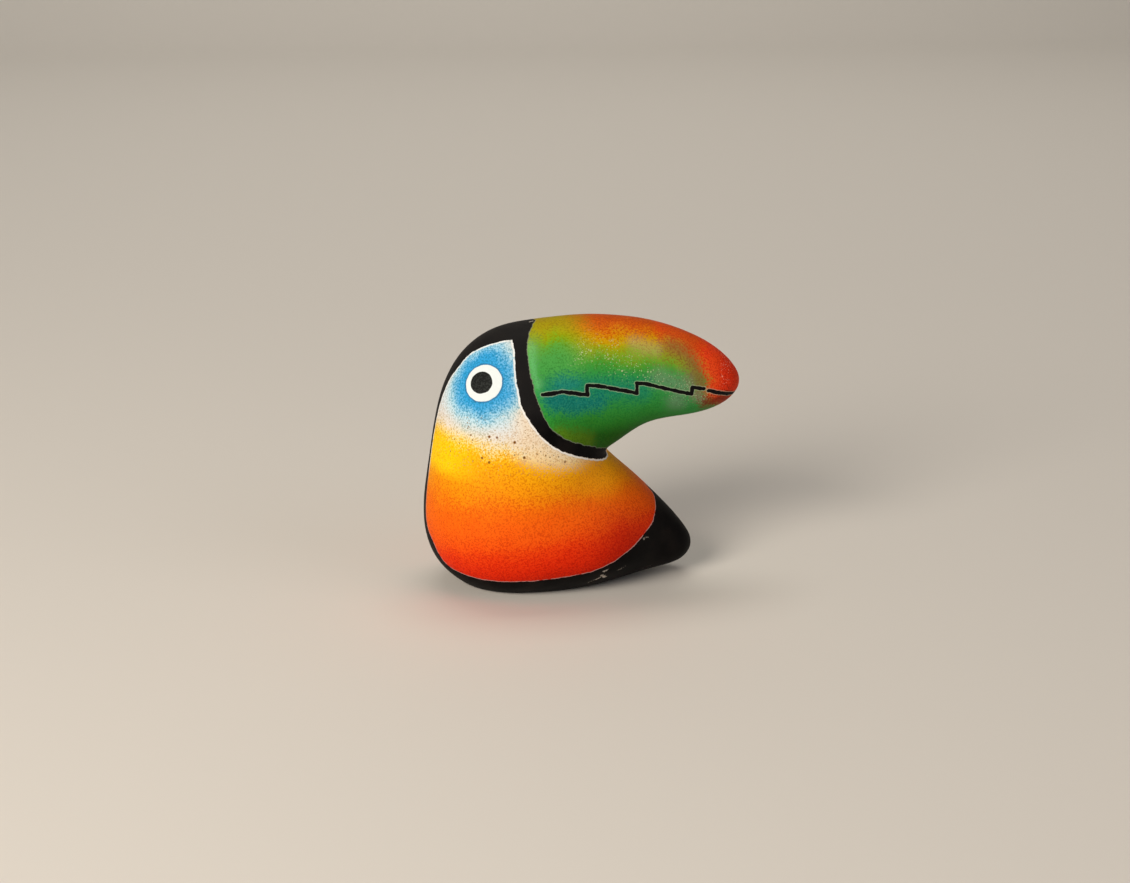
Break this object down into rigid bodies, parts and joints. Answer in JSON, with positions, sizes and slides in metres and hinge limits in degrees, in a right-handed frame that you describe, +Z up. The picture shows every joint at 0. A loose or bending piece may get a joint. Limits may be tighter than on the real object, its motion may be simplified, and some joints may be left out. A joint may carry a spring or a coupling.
{
  "type": "toucan figurine",
  "caption": "Small painted ceramic toucan with a large drooping beak, a rounded body and a short tail, standing on a flat underside.",
  "frame": {"origin": "middle of the bird's length and width, on the surface that it stands on", "axes": "+Z up, +X the way that the beak and the tail point, the two sides mirror each other across Y = 0"},
  "size_m": [0.0666, 0.0376, 0.0568],
  "materials": {
    "painted_ceramic": "airbrushed and brushed paint under a satin varnish on fired clay"
  },
  "bodies": {
    "root": {"toucan_body": "painted_ceramic"}
  },
  "joints": []
}
